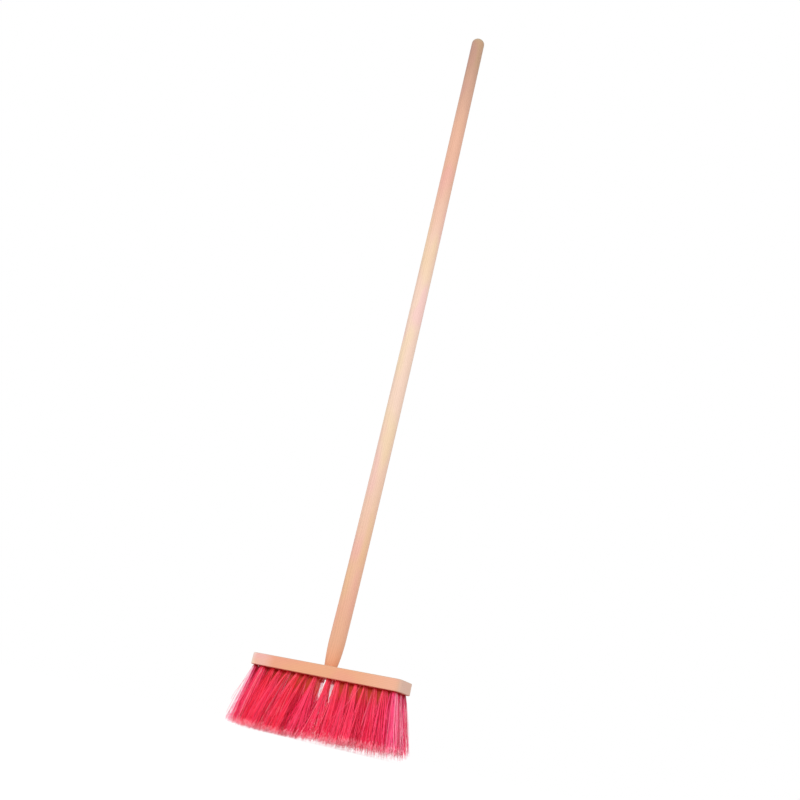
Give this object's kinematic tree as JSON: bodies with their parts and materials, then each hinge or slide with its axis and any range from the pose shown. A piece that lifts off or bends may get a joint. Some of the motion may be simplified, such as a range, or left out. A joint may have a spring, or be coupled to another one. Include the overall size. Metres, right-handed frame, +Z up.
{
  "type": "street broom",
  "caption": "Street broom: long round wooden handle with a domed top, set upright in a flat wooden block drilled with rows of outward leaning pink bristle tufts.",
  "frame": {"origin": "on the floor plane that the level trimmed bristle tips stand on, under the middle of the block, on the handle's axis", "axes": "+Z up along the handle, +X along the block, +Y across the block towards its rear"},
  "size_m": [0.3049, 0.0746, 1.5],
  "materials": {
    "handle_wood": "bare sanded beech, matt",
    "block_wood": "bare planed beech, matt",
    "bristle_pink": "bright pink-red plastic filaments, slightly glossy, split tips",
    "bristle_rose": "paler rose-pink plastic filaments at the ends of the rows"
  },
  "bodies": {
    "root": {"handle": "handle_wood", "block": "block_wood", "front_tuft_01": "bristle_rose", "front_tuft_02": "bristle_pink", "front_tuft_03": "bristle_pink", "front_tuft_04": "bristle_pink", "front_tuft_05": "bristle_pink", "front_tuft_06": "bristle_pink", "front_tuft_07": "bristle_pink", "front_tuft_08": "bristle_pink", "front_tuft_09": "bristle_pink", "front_tuft_10": "bristle_pink", "front_tuft_11": "bristle_pink", "front_tuft_12": "bristle_pink", "front_tuft_13": "bristle_pink", "front_tuft_14": "bristle_pink", "front_tuft_15": "bristle_pink", "front_tuft_16": "bristle_rose", "middle_tuft_01": "bristle_rose", "middle_tuft_02": "bristle_pink", "middle_tuft_03": "bristle_pink", "middle_tuft_04": "bristle_pink", "middle_tuft_05": "bristle_pink", "middle_tuft_06": "bristle_pink", "middle_tuft_07": "bristle_pink", "middle_tuft_08": "bristle_pink", "middle_tuft_09": "bristle_pink", "middle_tuft_10": "bristle_pink", "middle_tuft_11": "bristle_pink", "middle_tuft_12": "bristle_pink", "middle_tuft_13": "bristle_pink", "middle_tuft_14": "bristle_pink", "middle_tuft_15": "bristle_rose", "rear_tuft_01": "bristle_rose", "rear_tuft_02": "bristle_pink", "rear_tuft_03": "bristle_pink", "rear_tuft_04": "bristle_pink", "rear_tuft_05": "bristle_pink", "rear_tuft_06": "bristle_pink", "rear_tuft_07": "bristle_pink", "rear_tuft_08": "bristle_pink", "rear_tuft_09": "bristle_pink", "rear_tuft_10": "bristle_pink", "rear_tuft_11": "bristle_pink", "rear_tuft_12": "bristle_pink", "rear_tuft_13": "bristle_pink", "rear_tuft_14": "bristle_pink", "rear_tuft_15": "bristle_rose"}
  },
  "joints": []
}
